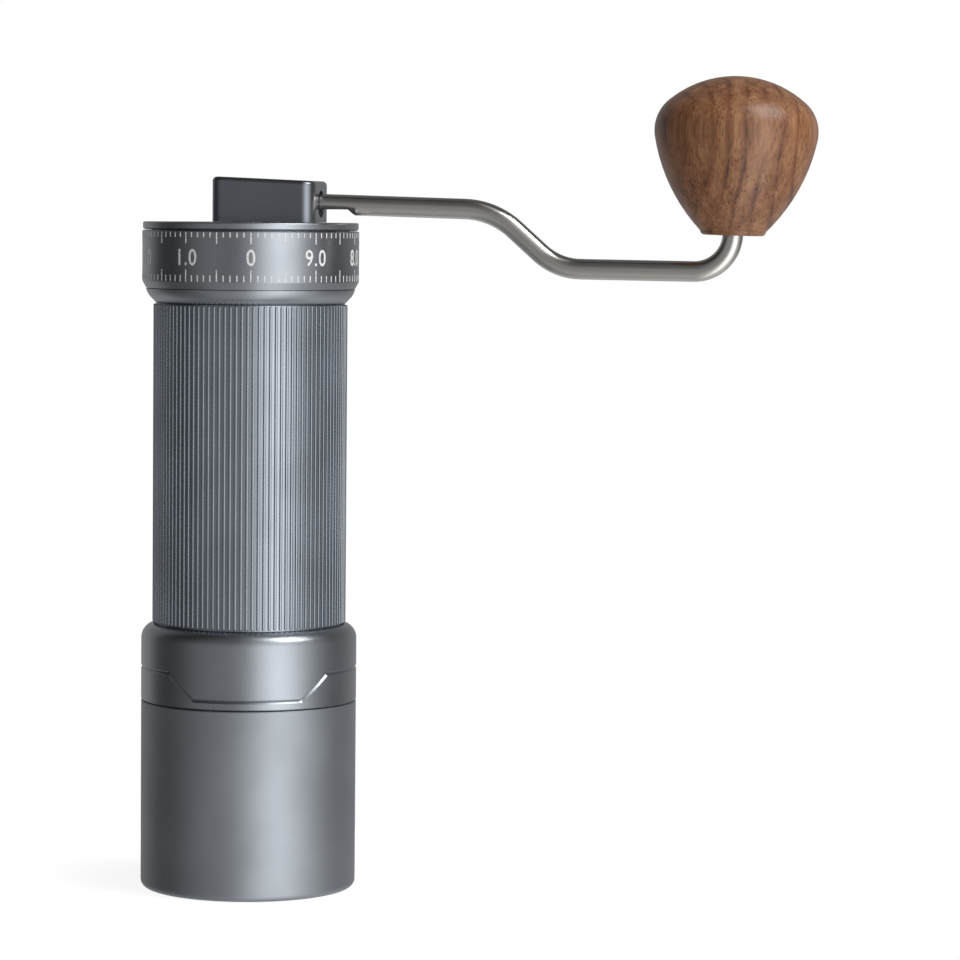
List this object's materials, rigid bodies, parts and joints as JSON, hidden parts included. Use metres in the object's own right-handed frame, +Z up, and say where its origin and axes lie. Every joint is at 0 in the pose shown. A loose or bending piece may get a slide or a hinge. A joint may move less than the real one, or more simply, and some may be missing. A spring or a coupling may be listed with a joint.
{
  "type": "hand crank coffee grinder",
  "caption": "Tall round hand coffee grinder with a ribbed grip, a numbered grind dial, a magnetic catch cup and a bent steel crank with a turned wooden knob.",
  "frame": {"origin": "centre of the catch cup's flat base, on the grinding axis", "axes": "+Z up along the grinding axis; number 0 of the dial faces -Y; the crank points 13.7 degrees from +X towards -Y at rest"},
  "size_m": [0.1771, 0.0813, 0.2185],
  "materials": {
    "cup_aluminium": "bead-blasted and anodised grey",
    "body_aluminium": "bead-blasted and anodised grey",
    "grip_aluminium": "turned ribs, anodised grey",
    "dial_aluminium": "bead-blasted and anodised grey, paint-filled marks",
    "lid_aluminium": "anodised grey",
    "hub_aluminium": "bead-blasted and anodised dark grey",
    "tube_steel": "brushed",
    "bridge_aluminium": "plain machined",
    "burr_steel": "hardened and ground",
    "bearing_steel": "ground and polished",
    "cage_brass": "stamped",
    "spring_steel": "drawn",
    "fastener_steel": "turned",
    "magnet_nickel": "nickel plated",
    "arm_steel": "bent stainless rod, polished",
    "seal_rubber": "smooth",
    "bush_plastic": "moulded",
    "walnut": "turned, sanded and oiled"
  },
  "bodies": {
    "grinder": {"burr_housing": "body_aluminium", "housing_magnets": "magnet_nickel", "outer_burr": "burr_steel", "outer_burr_lock_ring": "burr_steel", "body_tube": "tube_steel", "grip_sleeve": "grip_aluminium", "top_collar": "body_aluminium", "click_balls": "bearing_steel", "click_springs": "spring_steel", "dial_retaining_ring": "body_aluminium", "lower_bridge": "bridge_aluminium", "lower_bearing_outer_ring": "bearing_steel"},
    "cup": {"catch_cup": "cup_aluminium", "cup_magnets": "magnet_nickel"},
    "dial": {"dial_ring": "dial_aluminium", "detent_ring": "bearing_steel"},
    "carriage": {"bearing_carriage": "bridge_aluminium", "bearing_clip": "spring_steel", "upper_bearing_outer_ring": "bearing_steel"},
    "upper_cage": {"upper_bearing_cage": "cage_brass", "upper_bearing_balls": "bearing_steel"},
    "shaft": {"axle": "bearing_steel", "axle_clip": "spring_steel", "upper_bearing_inner_ring": "bearing_steel", "inner_burr": "burr_steel", "burr_washer": "fastener_steel", "burr_screw": "fastener_steel", "preload_spring": "spring_steel"},
    "lower_race": {"lower_bearing_inner_ring": "bearing_steel", "spring_washer": "fastener_steel"},
    "lower_cage": {"lower_bearing_cage": "cage_brass", "lower_bearing_balls": "bearing_steel"},
    "lid": {"hopper_lid": "lid_aluminium", "lid_o_ring": "seal_rubber", "lid_bush": "bush_plastic"},
    "handle": {"hub_block": "hub_aluminium", "crank_arm": "arm_steel", "arm_set_screws": "fastener_steel", "hex_socket": "bearing_steel", "hub_clip": "spring_steel", "knob_clip": "spring_steel"},
    "knob": {"knob": "walnut", "knob_lower_bush": "bush_plastic", "knob_upper_bush": "bush_plastic"}
  },
  "joints": [
    {"name": "cup_pull", "type": "slide", "parent": "grinder", "child": "cup", "axis": [0, 0, -1], "range_m": [0, 0.06]},
    {"name": "lid_lift", "type": "slide", "parent": "grinder", "child": "lid", "axis": [0, 0, 1], "range_m": [0, 0.045]},
    {"name": "crank_turn", "type": "hinge", "parent": "lid", "child": "handle", "pos_m": [0, 0, 0.18], "axis": [0, 0, 1], "continuous": true},
    {"name": "knob_spin", "type": "hinge", "parent": "handle", "child": "knob", "pos_m": [0.12606, -0.03073, 0.1769], "axis": [0.0203, -0.005, 0.9998], "continuous": true},
    {"name": "dial_turn", "type": "hinge", "parent": "grinder", "child": "dial", "pos_m": [0, 0, 0.17], "axis": [0, 0, 1], "range_deg": [0, 350]},
    {"name": "axle_travel", "type": "slide", "parent": "grinder", "child": "carriage", "axis": [0, 0, -1], "range_m": [0, 0.002], "deforming": ["preload_spring"]},
    {"name": "shaft_spin", "type": "hinge", "parent": "carriage", "child": "shaft", "pos_m": [0, 0, 0.168], "axis": [0, 0, 1], "continuous": true},
    {"name": "upper_cage_turn", "type": "hinge", "parent": "carriage", "child": "upper_cage", "pos_m": [0, 0, 0.168], "axis": [0, 0, 1], "continuous": true},
    {"name": "lower_race_turn", "type": "hinge", "parent": "grinder", "child": "lower_race", "pos_m": [0, 0, 0.087], "axis": [0, 0, 1], "continuous": true},
    {"name": "lower_cage_turn", "type": "hinge", "parent": "grinder", "child": "lower_cage", "pos_m": [0, 0, 0.087], "axis": [0, 0, 1], "continuous": true}
  ],
  "couplings": [
    {"joint": "axle_travel", "follows": "dial_turn", "m_per_rad": 0.00031831},
    {"joint": "shaft_spin", "follows": "crank_turn", "ratio": 1},
    {"joint": "upper_cage_turn", "follows": "crank_turn", "ratio": 0.375},
    {"joint": "lower_race_turn", "follows": "crank_turn", "ratio": 1},
    {"joint": "lower_cage_turn", "follows": "crank_turn", "ratio": 0.375}
  ]
}
